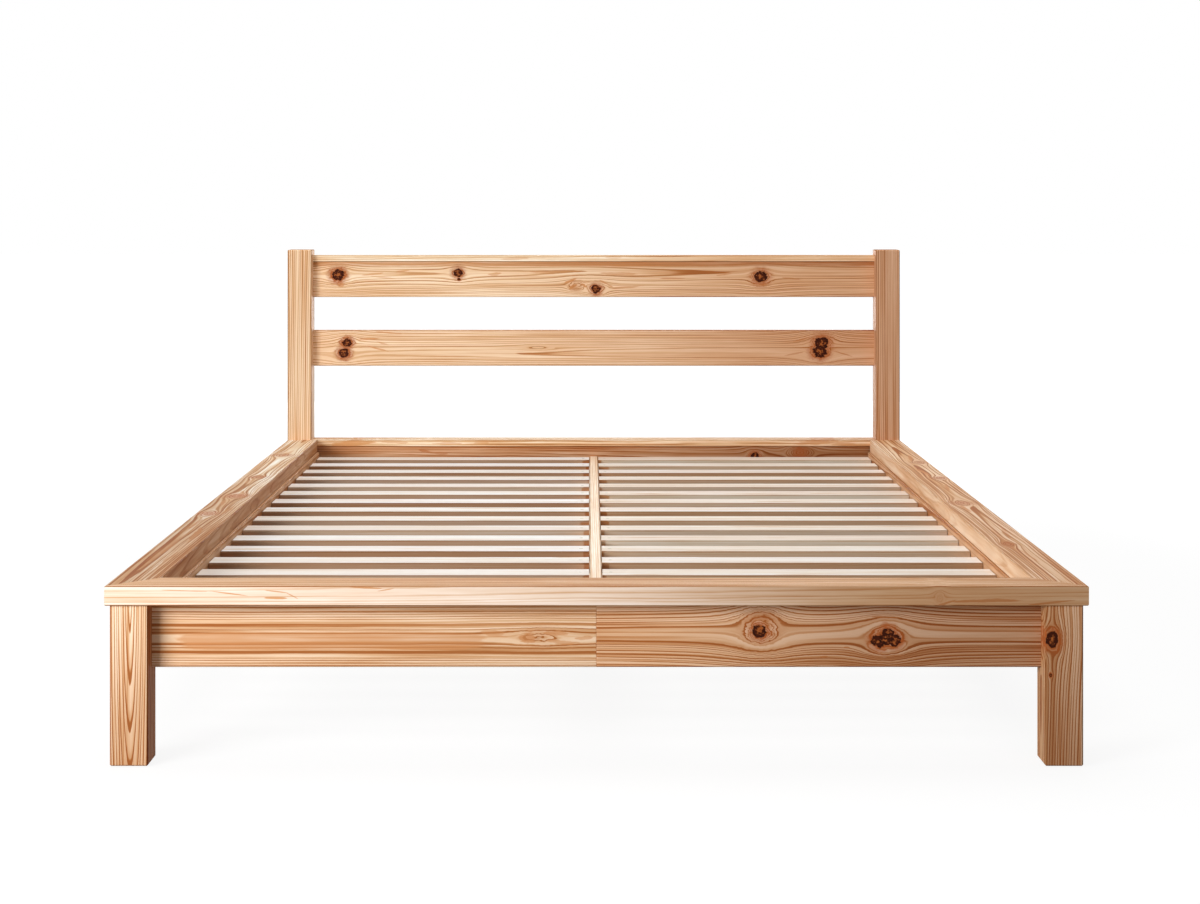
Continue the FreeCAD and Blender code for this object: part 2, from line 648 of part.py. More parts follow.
def main():
    make_posts()
    make_headboard_rails()
    make_head_rail()
    make_front_legs()
    make_aprons()
    make_splice_block()
    make_caps()
    make_mitre_tongues()
    make_side_boards()
    make_slat_rails()
    make_centre_beam()
    make_centre_leg()
    make_hanger(block_back_y, 1, "apron_splice_block")
    make_hanger(head_rail_front_y, -1, "head_rail")
    make_bed_fittings()
    make_slats()
    make_glides()
    os.makedirs("parts", exist_ok=True)
    for name in sorted(pieces):
        shape = finished(name)
        shape.exportStep(f"parts/{name}.step")
        print(f"{name}: {len(shape.Solids)} solids, {shape.Volume / 1000:.1f} cm3")


main()
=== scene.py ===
import math

import bmesh
import bpy
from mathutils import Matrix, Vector


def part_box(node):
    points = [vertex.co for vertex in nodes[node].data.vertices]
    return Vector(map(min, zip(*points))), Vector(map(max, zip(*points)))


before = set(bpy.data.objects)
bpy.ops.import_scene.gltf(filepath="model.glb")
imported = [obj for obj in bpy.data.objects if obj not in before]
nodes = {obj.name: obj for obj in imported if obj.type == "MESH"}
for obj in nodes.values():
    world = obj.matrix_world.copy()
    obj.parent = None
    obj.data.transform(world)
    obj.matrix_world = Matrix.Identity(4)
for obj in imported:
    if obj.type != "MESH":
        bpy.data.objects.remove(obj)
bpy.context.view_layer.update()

# The looks of a low slatted bed in knotty pine. Metres: +X to the right, +Y to the headboard, +Z up.
# Every board keeps its CAD shape. It gets pine of its own: growth rings round a pith in or beside the board,
# knots that the grain flows round, fibres and end grain, all worked out from places in the space of the bed.
# Some colours also carry painted light and shade: board tones that fall off from left to right, darker narrow
# sides on some boards and on the slats, darker broken edges, a shadow band under the headboard's top strip
# and dark inner ends of the slats' front edges.

# ---- picture and camera
IMAGE_WIDTH = 1200
SENSOR_WIDTH = 36.0
CAMERA_PLACE = (-0.0118, -4.329, 0.8887)
FOCAL_PIXELS = 2108.0       # focal length in pixels of the picture
VANISHING_POINT = (589.0, 200.0)
IMAGE_CENTRE = (600.0, 452.0)

# ---- axes of a board (X, Y, Z are 0, 1, 2): along the grain, across its main face, and through it
UPRIGHT = (2, 0, 1)
ON_EDGE_ACROSS_BED = (0, 2, 1)
FLAT_ACROSS_BED = (0, 1, 2)
FLAT_ALONG_BED = (1, 0, 2)
ON_EDGE_ALONG_BED = (1, 2, 0)

# ---- pine: colours run from 0 to 255, and tints are what is left of a colour in linear light
LATE_TINT = (0.52, 0.28, 0.135)      # late wood, from the colour of early wood
PATCH_TINT = (0.9, 0.77, 0.64)       # broad warm patches
END_TINT = (0.66, 0.56, 0.47)        # end grain
ARRIS_SHADE_TINT = (0.68, 0.6, 0.52)       # broken edges darkened as painted shade, against the highlight they catch
FLECK_TINT = (0.72, 0.44, 0.25)      # resin marks, flames of late wood and bands of painted shade
KNOT_HALO = (172, 88, 40)
KNOT_LIGHT = (168, 92, 44)
KNOT_DARK = (64, 23, 8)
KNOT_RIM = (38, 12, 4)
WOOD_SPECULAR = 0.07
WOOD_ROUGHNESS = 0.6
WOOD_BUMP = 0.35
RELIEF_DEPTH = 0.0004                # metres

# ---- noise in a board: changes per metre along, across and through it
WANDER = (1.7, 8.0, 8.0)             # slow wander of the growth rings
RAGGED = (17.0, 150.0, 150.0)        # small wander of their edges
STREAKS = (2.4, 48.0, 48.0)
FINE_LINES = (1.9, 230.0, 230.0)     # between the growth rings
FIBRES = (16.0, 850.0, 850.0)
BLOTCHES = (170.0, 200.0, 200.0)     # inside knots
KNOT_OUTLINE = (75.0, 110.0, 1.0)
FLECK_OUTLINE = (28.0, 170.0, 1.0)
RAGGED_SIZE = 0.0007                 # metres
RING_DRIFT = 1.4                     # rings by which a ring may be out of its even place
DRIFT_PER_RING = 0.4                 # changes of that from one ring to the next
RINGS_PER_SEED = 37.0                # ring numbers between the seeds of two boards, for seeds 1 apart
SEED_STRIDE = 11.7                   # metres along the noise between them
FLECK_SEED = 3.3                     # flecks have a noise of their own

# ---- form of a knot; distances are in its radius, and fades run from its outside inwards
KNOT_LENGTH = 1.15                   # its length along the grain, in widths
KNOT_FADE = (1.1, 0.95)
RIM_MIDDLE = 0.95
RIM_FADE = (0.24, 0.02)              # distance from the middle of the rim
HALO_FADE = (2.5, 0.8)
FLOW_RAGGED = (0.7, 0.45)            # wander of the grain round it, along and across
RING_LIFT = 0.9                      # how far the growth rings bulge over it
OUTLINE_SIZE = 1.3                   # wander of its outline

# ---- form of a fleck
FLECK_FADE = 0.45                    # share of its size over which it fades out
FLECK_LEVEL = 0.55                   # level of the noise that leaves its outline in place

# ---- growth rings: places in a ring from its inner edge to its outer, and how dark they are
RING_STOPS = ((0.0, 0.0), (0.4, 0.03), (0.67, 0.2), (0.8, 1.0), (0.94, 1.0), (1.0, 0.0))
PALEST = -0.14                       # limits of the share of late wood in the colour
DARKEST = 1.15

# ---- what the knots of a board hand on from one to the next, and its start with no knot near
KNOT_STATE = {"Shift": 0.0, "Lift": 0.0, "Core": 0.0, "Rim": 0.0, "Halo": 0.0, "Swirl": 9.0}

# ---- how far a place has to face the end or the narrow side of its board, from 0 to 1, to count as such
END_SLANT = (0.75, 0.9)
EDGE_SLANT = (0.4, 0.65)
ARRIS_FROM = (0.3, 0.5)              # painted shade on broken edges begins at a small slant
ARRIS_TO = (0.95, 0.85)              # and ends before the narrow side

# ---- slats: colours of faces and of edges, the edges darkened as painted shade, and the painted light that multiplies them in the left (-1) and right (1) row
SLAT_TONES = ((243, 238, 230), (241, 233, 223), (245, 241, 237), (239, 229, 219), (242, 236, 228))
SLAT_EDGE_SHADE_TONES = ((190, 156, 126), (178, 140, 108), (204, 178, 152), (170, 128, 94), (186, 156, 130))
SLAT_ROW_LIGHT_TINTS = {-1: (0.998, 1.003, 1.018), 1: (0.978, 0.962, 0.95)}
SLAT_EDGE_ROW_LIGHT_TINTS = {-1: (0.945, 0.96, 0.99), 1: (1.03, 1.1, 1.17)}
END_OF_ROW = 0.0115                  # inner ends of the slats from the middle of the bed, where their front edges get a painted shadow

# ---- steel and felt
PLAIN_SPECULAR = 0.5
DIRT = (0.02, 0.02, 0.02, 1.0)
DIRT_SHARE = 0.35
MOTTLE = (0.3, 0.7)                  # levels of the noise between which colour and roughness change
ROUGHNESS_SPREAD = (-0.08, 0.12)

# ---- stage
AMBIENT = 0.22              # light of the white surroundings
FLOOR_HALF = 30.0           # half the side of the floor
FLOOR_ALBEDO = 0.45
FLOOR_SHADOW = 0.3          # share of the floor's real shading that the camera sees
FLOOR_GLOW = (0.89, 1.0)    # white added for the camera, near the bed and far from it
FLOOR_FADE = (1.3, 3.2)     # distances between which the shadow runs out
SOFTBOXES = (               # name, place, target, size and watts
    ("key", (-2.5, -3.2, 1.2), (-0.3, -0.3, 0.3), (1.8, 1.2), 124.0),
    ("top", (0.0, 0.2, 3.0), (0.0, 0.1, 0.2), (2.6, 2.6), 59.5),
    ("behind the headboard", (0.0, 5.0, 0.5), (0.0, 1.0, 0.4), (2.6, 0.8), 62.0),
)

# ---- nodes
MIX_FACTOR = 0              # numbers of the sockets of a mix node that are used for colours
MIX_COLOURS = (6, 7)
MIX_RESULT = 2
NEAR_ZERO = 1e-9            # keeps a divisor above zero


def linear(colour):
    """A colour from 0 to 255 as linear RGBA."""
    channels = []
    for value in colour:
        share = value / 255
        channels.append(share / 12.92 if share <= 0.04045 else ((share + 0.055) / 1.055) ** 2.4)
    return (*channels, 1.0)


class Graph:
    """Adds nodes to a tree, so that a formula in nodes reads as nested calls."""

    def __init__(self, tree):
        self.tree = tree

    def feed(self, socket, value):
        if isinstance(value, bpy.types.NodeSocket):
            self.tree.links.new(value, socket)
        else:
            socket.default_value = value

    def node(self, kind, inputs=(), **settings):
        made = self.tree.nodes.new(kind)
        for name, value in settings.items():
            setattr(made, name, value)
        for name, value in dict(inputs).items():
            self.feed(made.inputs[name], value)
        return made

    def math(self, operation, *values):
        made = self.node("ShaderNodeMath", operation=operation)
        for socket, value in zip(made.inputs, values):
            self.feed(socket, value)
        return made.outputs[0]

    def plus(self, *values):
        total = values[0]
        for value in values[1:]:
            total = self.math("ADD", total, value)
        return total

    def minus(self, a, b):
        return self.math("SUBTRACT", a, b)

    def times(self, *values):
        total = values[0]
        for value in values[1:]:
            total = self.math("MULTIPLY", total, value)
        return total

    def stretched(self, value, low, high, to_low=0.0, to_high=1.0):
        """A value mapped smoothly from one range to another and kept inside it."""
        inputs = {"Value": value, "From Min": low, "From Max": high, "To Min": to_low, "To Max": to_high}
        return self.node("ShaderNodeMapRange", inputs, interpolation_type="SMOOTHSTEP").outputs[0]

    def vector(self, x, y, z):
        return self.node("ShaderNodeCombineXYZ", {"X": x, "Y": y, "Z": z}).outputs[0]

    def scaled(self, vector, scale):
        made = self.node("ShaderNodeVectorMath", operation="MULTIPLY")
        self.feed(made.inputs[0], vector)
        made.inputs[1].default_value = scale
        return made.outputs[0]

    def noise(self, vector, detail=2.0, roughness=0.5):
        """Soft noise: its value and its colour."""
        made = self.node("ShaderNodeTexNoise", {"Vector": vector, "Scale": 1.0, "Detail": detail})
        made.inputs["Roughness"].default_value = roughness
        return made.outputs["Fac"], made.outputs["Color"]

    def channels(self, colour):
        """The three channels of a colour, moved to lie round 0."""
        made = self.node("ShaderNodeSeparateColor", {"Color": colour})
        return [self.minus(made.outputs[n], 0.5) for n in range(3)]

    def mix(self, factor, a, b, blend="MIX"):
        """Two colours mixed by a factor. The node has several sockets of each name, so they go by number."""
        made = self.node("ShaderNodeMix", data_type="RGBA", blend_type=blend)
        self.feed(made.inputs[MIX_FACTOR], factor)
        self.feed(made.inputs[MIX_COLOURS[0]], a)
        self.feed(made.inputs[MIX_COLOURS[1]], b)
        return made.outputs[MIX_RESULT]

    def tinted(self, colour, tint):
        """A colour times a tint."""
        return self.mix(1.0, colour, (*tint, 1.0), "MULTIPLY")

    def group(self, tree, inputs):
        made = self.node("ShaderNodeGroup")
        made.node_tree = tree
        for name, value in inputs.items():
            self.feed(made.inputs[name], value)
        return made


def new_group(name, inputs, outputs):
    """An empty node group with its sockets: a graph, its input sockets by name, and its output node."""
    tree = bpy.data.node_groups.new(name, "ShaderNodeTree")
    kinds = {"float": "NodeSocketFloat", "colour": "NodeSocketColor"}
    for socket, kind in inputs.items():
        tree.interface.new_socket(socket, in_out="INPUT", socket_type=kinds[kind])
    for socket, kind in outputs.items():
        tree.interface.new_socket(socket, in_out="OUTPUT", socket_type=kinds[kind])
    entry = tree.nodes.new("NodeGroupInput")
    leave = tree.nodes.new("NodeGroupOutput")
    return Graph(tree), {socket: entry.outputs[socket] for socket in inputs}, leave


def floats(*names):
    """Sockets that all carry a plain number."""
    return dict.fromkeys(names, "float")


def make_knot_group():
    """One knot: it pushes the grain aside like a stone in a stream, and rings of its own fill the gap."""
    inputs = floats("Along", "Across", "Warp Along", "Warp Across", "Knot Along", "Knot Across", "Radius",
                    "Flow", "Stretch", "Dark", "Warm", *KNOT_STATE)
    g, given, leave = new_group("pine knot", inputs, floats(*KNOT_STATE))
    u = g.minus(given["Along"], given["Knot Along"])
    v = g.minus(given["Across"], given["Knot Across"])
    # the flow of the grain, in an ellipse that is longer along the grain
    u_flow = g.plus(u, g.times(given["Warp Along"], given["Radius"], FLOW_RAGGED[0]))
    u_flow = g.math("DIVIDE", u_flow, given["Stretch"])
    v_flow = g.plus(v, g.times(given["Warp Across"], given["Radius"], FLOW_RAGGED[1]))
    square = g.plus(g.times(u_flow, u_flow), g.times(v_flow, v_flow))
    reach = g.times(given["Radius"], given["Flow"])
    share = g.math("DIVIDE", g.times(reach, reach), g.plus(square, NEAR_ZERO))
    share = g.math("MINIMUM", share, 1.0)
    distance = g.math("SQRT", square)
    lift = g.times(g.math("MAXIMUM", g.minus(reach, distance), 0.0), RING_LIFT)
    # the knot itself is nearly round
    u_core = g.math("DIVIDE", g.plus(u, g.times(given["Warp Along"], given["Radius"])), KNOT_LENGTH)
    v_core = g.plus(v, g.times(given["Warp Across"], given["Radius"]))
    core_distance = g.math("SQRT", g.plus(g.times(u_core, u_core), g.times(v_core, v_core)))
    ratio = g.math("DIVIDE", core_distance, given["Radius"])
    core = g.times(g.stretched(ratio, *KNOT_FADE), given["Dark"])
    from_rim = g.math("ABSOLUTE", g.minus(ratio, RIM_MIDDLE))
    rim = g.times(g.stretched(from_rim, *RIM_FADE), given["Dark"])
    halo = g.times(g.stretched(ratio, *HALO_FADE), given["Warm"])
    results = {
        "Shift": g.minus(given["Shift"], g.times(v, share)),
        "Lift": g.plus(given["Lift"], lift),
        "Core": g.math("MAXIMUM", given["Core"], core),
        "Rim": g.math("MAXIMUM", given["Rim"], rim),
        "Halo": g.math("MAXIMUM", given["Halo"], halo),
        "Swirl": g.math("MINIMUM", given["Swirl"], ratio),
    }
    for socket, value in results.items():
        g.feed(leave.inputs[socket], value)
    return g.tree


def make_fleck_group():
    """One long soft spot with a ragged outline: a resin mark, a flame of late wood, or a band of painted
    shade.
    """
    inputs = floats("Along", "Across", "Ragged", "Mark Along", "Mark Across", "Half Length", "Half Height",
                    "Tilt", "Squareness", "Strength", "Mark")
    g, given, leave = new_group("pine fleck", inputs, floats("Mark"))
    u = g.minus(given["Along"], given["Mark Along"])
    v = g.minus(g.minus(given["Across"], given["Mark Across"]), g.times(u, given["Tilt"]))
    u = g.math("POWER", g.math("ABSOLUTE", g.math("DIVIDE", u, given["Half Length"])), given["Squareness"])
    v = g.math("POWER", g.math("ABSOLUTE", g.math("DIVIDE", v, given["Half Height"])), given["Squareness"])
    inside = g.plus(g.minus(1.0, g.plus(u, v)), given["Ragged"])
    mark = g.times(g.stretched(inside, 0.0, FLECK_FADE), given["Strength"])
    g.feed(leave.inputs["Mark"], g.math("MAXIMUM", given["Mark"], mark))
    return g.tree


def ring_profile(g, phase):
    """How dark a place in a growth ring is, from pale early wood to the sharp outer edge of its late wood."""
    ramp = g.node("ShaderNodeValToRGB", {"Fac": phase})
    ramp.color_ramp.interpolation = "EASE"
    elements = ramp.color_ramp.elements
    while len(elements) < len(RING_STOPS):
        elements.new(0.5)
    for element, (place, value) in zip(elements, RING_STOPS):
        element.position = place
        element.color = (value, value, value, 1)
    return g.node("ShaderNodeSeparateColor", {"Color": ramp.outputs["Color"]}).outputs[0]


def make_grain_group():
    """Growth rings, streaks, fibres, end grain and knots of a board, from coordinates in metres."""
    inputs = floats("Along", "Across", "Through", "Seed", "Pith Across", "Pith Through", "Slope Across",
                    "Slope Through", "Ring", "Wobble", "Contrast", "Streaks", "End", "Mark", *KNOT_STATE)
    inputs["Pale"] = "colour"
    outputs = {"Color": "colour", "Height": "float", "Roughness": "float"}
    g, given, leave = new_group("pine grain", inputs, outputs)

    along = g.plus(given["Along"], g.times(given["Seed"], SEED_STRIDE))
    across = g.plus(given["Across"], given["Shift"])
    place = g.vector(along, across, given["Through"])
    raw_place = g.vector(along, given["Across"], given["Through"])
    _, wander_colour = g.noise(g.scaled(place, WANDER))
    wander = g.channels(wander_colour)
    ragged, _ = g.noise(g.scaled(place, RAGGED), 2.0, 0.6)

    # distance from the pith, which drifts as the board leaves the axis of the stem
    pith_across = g.plus(given["Pith Across"], g.times(given["Slope Across"], given["Along"]))
    pith_through = g.plus(given["Pith Through"], g.times(given["Slope Through"], given["Along"]))
    a = g.plus(g.minus(across, pith_across), g.times(wander[0], given["Wobble"]))
    b = g.plus(g.minus(given["Through"], pith_through), g.times(wander[1], given["Wobble"]))
    radius = g.math("SQRT", g.plus(g.times(a, a), g.times(b, b)))
    radius = g.plus(radius, given["Lift"], g.times(g.minus(ragged, 0.5), RAGGED_SIZE))
    rings = g.math("DIVIDE", radius, given["Ring"])
    drift = {"W": g.plus(g.times(rings, DRIFT_PER_RING), given["Seed"]), "Scale": 1.0, "Detail": 1.0}
    uneven = g.node("ShaderNodeTexNoise", drift, noise_dimensions="1D").outputs["Fac"]
    rings = g.plus(rings, g.times(uneven, RING_DRIFT))
    late = ring_profile(g, g.math("FRACT", rings))
    number = g.plus(g.math("FLOOR", rings), g.times(given["Seed"], RINGS_PER_SEED))
    kind = g.node("ShaderNodeTexWhiteNoise", {"W": number}, noise_dimensions="1D").outputs["Value"]
    late = g.times(late, g.plus(g.times(kind, 0.6), 0.4))

    streaks, streak_colour = g.noise(g.scaled(place, STREAKS), 3.0, 0.6)
    streaks = g.minus(g.stretched(streaks, 0.32, 0.68), 0.5)
    patches = g.stretched(g.channels(streak_colour)[1], -0.04, 0.14)
    fine, _ = g.noise(g.scaled(place, FINE_LINES), 1.0, 0.5)
    fine = g.stretched(fine, 0.48, 0.66)
    fibres, _ = g.noise(g.scaled(place, FIBRES), 2.0, 0.7)
    fibres = g.minus(fibres, 0.5)

    # how far a place has the colour of late wood; the factors here and below are given
    near_knot = g.plus(g.times(given["Halo"], 0.6), 1.0)
    broken = g.times(late, g.plus(g.times(streaks, 0.35), g.times(fine, 0.25), 0.75))
    swing = g.plus(g.times(wander[2], 1.1), 1.0)
    depth = g.times(g.plus(broken, g.times(fine, 0.22)), given["Contrast"], swing, near_knot)
    depth = g.plus(depth, g.times(streaks, given["Streaks"]), g.times(fibres, 0.2))
    depth = g.math("MINIMUM", g.math("MAXIMUM", depth, PALEST), DARKEST)
    stain = g.vector(*(g.math("POWER", channel, depth) for channel in LATE_TINT))
    colour = g.mix(1.0, given["Pale"], stain, "MULTIPLY")
    patch_share = g.times(patches, g.math("MINIMUM", g.times(given["Streaks"], 2.5), 1.0))
    colour = g.mix(patch_share, colour, g.tinted(colour, PATCH_TINT))

    # resin marks, flames and bands of painted shade, then knots and end grain, over the rings
    flame_and_shade = g.tinted(given["Pale"], FLECK_TINT)
    flame_and_shade = g.mix(g.times(late, 0.5), flame_and_shade, g.tinted(given["Pale"], LATE_TINT))
    flame_and_shade_share = g.times(given["Mark"], g.plus(g.times(streaks, 0.5), g.times(fine, 0.2), 0.8))
    colour = g.mix(flame_and_shade_share, colour, flame_and_shade)

    blotches, _ = g.noise(g.scaled(raw_place, BLOTCHES), 3.0, 0.65)
    swirl = g.stretched(g.plus(blotches, g.times(given["Swirl"], -0.3)), 0.34, 0.5)
    halo = g.times(given["Halo"], g.plus(g.times(late, 0.4), g.times(blotches, 1.6)))
    colour = g.mix(g.math("MINIMUM", halo, 0.9), colour, linear(KNOT_HALO))
    colour = g.mix(given["Core"], colour, g.mix(swirl, linear(KNOT_DARK), linear(KNOT_LIGHT)))
    colour = g.mix(g.times(given["Rim"], g.stretched(blotches, 0.6, 0.4)), colour, linear(KNOT_RIM))
    colour = g.mix(given["End"], colour, g.tinted(colour, END_TINT))
    g.feed(leave.inputs["Color"], colour)

    relief = g.plus(g.times(late, 0.5), g.times(fibres, 0.5))
    relief = g.plus(relief, g.times(given["Rim"], -1.2), g.times(given["Core"], 0.5))
    g.feed(leave.inputs["Height"], relief)
    roughness = g.plus(g.times(late, -0.07), g.times(fibres, 0.2), WOOD_ROUGHNESS)
    g.feed(leave.inputs["Roughness"], g.plus(roughness, g.times(given["End"], 0.15)))
    return g.tree


# ---- boards
KNOT_GROUP = make_knot_group()
FLECK_GROUP = make_fleck_group()
GRAIN_GROUP = make_grain_group()


def knot(along, across, radius, flow=1.7, stretch=1.6, dark=1.0, warm=1.0):
    """A knot at a place on the main face of its board, in the space of the bed."""
    return dict(along=along, across=across, radius=radius, flow=flow, stretch=stretch, dark=dark, warm=warm)


def whorl(along, across, radius, flow=1.0, stretch=2.4, warm=0.35):
    """A place where the grain parts round a knot that stays under the surface."""
    return knot(along, across, radius, flow, stretch, 0.0, warm)


def fleck(along, across, half_length, half_height, tilt=0.0, strength=1.0, squareness=2.0, ragged=1.2):
    """A mark at a place on the main face of its board, in the space of the bed."""
    return dict(along=along, across=across, half_length=half_length, half_height=half_height, tilt=tilt,
                strength=strength, squareness=squareness, ragged=ragged)


def add_shader(g, colour, roughness, height, specular, bump):
    """The shader of a material, with relief from a height between about 0 and 1."""
    relief = g.node("ShaderNodeBump", {"Height": height})
    relief.inputs["Strength"].default_value = bump
    relief.inputs["Distance"].default_value = RELIEF_DEPTH
    inputs = {"Base Color": colour, "Roughness": roughness, "Normal": relief.outputs[0]}
    shader = g.node("ShaderNodeBsdfPrincipled", inputs)
    shader.inputs["Specular IOR Level"].default_value = specular
    g.node("ShaderNodeOutputMaterial", {"Surface": shader.outputs[0]})
    return shader


def new_material(name):
    material = bpy.data.materials.new(name)
    material.use_nodes = True
    material.node_tree.nodes.clear()
    return material, Graph(material.node_tree)


def wear(name, material):
    """Puts a material on a CAD node."""
    piece = nodes[name]
    if not piece.material_slots:
        piece.data.materials.append(material)
    for slot in piece.material_slots:
        slot.link = "OBJECT"
        slot.material = material


def through_knots(g, knots, along, across, middle, seed):
    """Leads the grain through the knots of a board, each with a ragged outline of its own."""
    if not knots:
        return KNOT_STATE
    _, colour = g.noise(g.scaled(g.vector(g.plus(along, seed), across, 0.0), KNOT_OUTLINE), 2.0, 0.6)
    warp = g.channels(colour)
    state = KNOT_STATE
    for each in knots:
        inputs = {"Along": along, "Across": across}
        inputs["Warp Along"] = g.times(warp[0], OUTLINE_SIZE)
        inputs["Warp Across"] = g.times(warp[1], OUTLINE_SIZE)
        inputs["Knot Along"] = each["along"] - middle[0]
        inputs["Knot Across"] = each["across"] - middle[1]
        for word in ("radius", "flow", "stretch", "dark", "warm"):
            inputs[word.title()] = each[word]
        inputs.update(state)
        made = g.group(KNOT_GROUP, inputs)
        state = {socket: made.outputs[socket] for socket in KNOT_STATE}
    return state


def flecked(g, flecks, along, across, middle, seed):
    """How much of a place on a board lies in its resin marks, flames and bands of painted shade."""
    if not flecks:
        return 0.0
    place = g.vector(g.plus(along, seed + FLECK_SEED), across, 0.0)
    ragged, _ = g.noise(g.scaled(place, FLECK_OUTLINE), 3.0, 0.6)
    mark = 0.0
    for each in flecks:
        inputs = {"Along": along, "Across": across, "Mark": mark}
        inputs["Ragged"] = g.times(g.minus(ragged, FLECK_LEVEL), 2.0 * each["ragged"])
        inputs["Mark Along"] = each["along"] - middle[0]
        inputs["Mark Across"] = each["across"] - middle[1]
        for word in ("half_length", "half_height", "tilt", "strength", "squareness"):
            inputs[word.replace("_", " ").title()] = each[word]
        mark = g.group(FLECK_GROUP, inputs).outputs["Mark"]
    return mark


def pine(name, axes, seed, tone, tone_far=None, turn=(0.6, 1.05), edge_tone=None, edge_contrast=0.0,
         pith=(0.0, 0.045), slope=(0.0, 0.004), ring=0.0034, wobble=0.005, contrast=1.1, streaks=0.15,
         knots=(), flecks=()):
    """Dresses one board. tone is the colour of its early wood at the low end and tone_far at the high end;
    one turns into the other between the shares turn of the two half lengths. On the boards of the headboard
    and the foot end these tones also carry painted light, paler at the left and darker at the right.
    edge_tone is the colour on the two narrow sides, on some boards darker as painted shade, where
    edge_contrast adds to the contrast. pith is the place of the middle of the growth rings, across and
    through the board, slope its drift per metre along the board, and ring their spacing."""
    material, g = new_material(name)
    low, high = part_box(name)
    centre = (low + high) / 2
    middle = [centre[axis] for axis in axes]
    coordinates = g.node("ShaderNodeTexCoord")
    split = g.node("ShaderNodeSeparateXYZ", {"Vector": coordinates.outputs["Object"]})
    facing = g.node("ShaderNodeSeparateXYZ", {"Vector": coordinates.outputs["Normal"]})
    along, across, through = (g.minus(split.outputs[axis], half) for axis, half in zip(axes, middle))
    end = g.stretched(g.math("ABSOLUTE", facing.outputs[axes[0]]), *END_SLANT)
    slant = g.math("ABSOLUTE", facing.outputs[axes[1]])
    pale = linear(tone)
    if tone_far:
        start = turn[0] * (low[axes[0]] - middle[0])
        stop = turn[1] * (high[axes[0]] - middle[0])
        pale = g.mix(g.stretched(along, start, stop), linear(tone), linear(tone_far))
    if edge_tone:
        edge = g.stretched(slant, *EDGE_SLANT)
        pale = g.mix(edge, pale, linear(edge_tone))
        contrast = g.plus(contrast, g.times(edge, edge_contrast))
    # painted shade on the broken edges, which holds back the highlight they catch
    arris_shade = g.times(g.stretched(slant, *ARRIS_FROM), g.stretched(slant, *ARRIS_TO))
    pale = g.mix(arris_shade, pale, g.tinted(pale, ARRIS_SHADE_TINT))
    inputs = {"Along": along, "Across": across, "Through": through, "Seed": seed, "Pale": pale, "End": end}
    inputs.update({"Pith Across": pith[0], "Pith Through": pith[1]})
    inputs.update({"Slope Across": slope[0], "Slope Through": slope[1]})
    inputs.update({"Ring": ring, "Wobble": wobble, "Contrast": contrast, "Streaks": streaks})
    inputs["Mark"] = flecked(g, flecks, along, across, middle, seed)
    inputs.update(through_knots(g, knots, along, across, middle, seed))
    grain = g.group(GRAIN_GROUP, inputs).outputs
    add_shader(g, grain["Color"], grain["Roughness"], grain["Height"], WOOD_SPECULAR, WOOD_BUMP)
    wear(name, material)


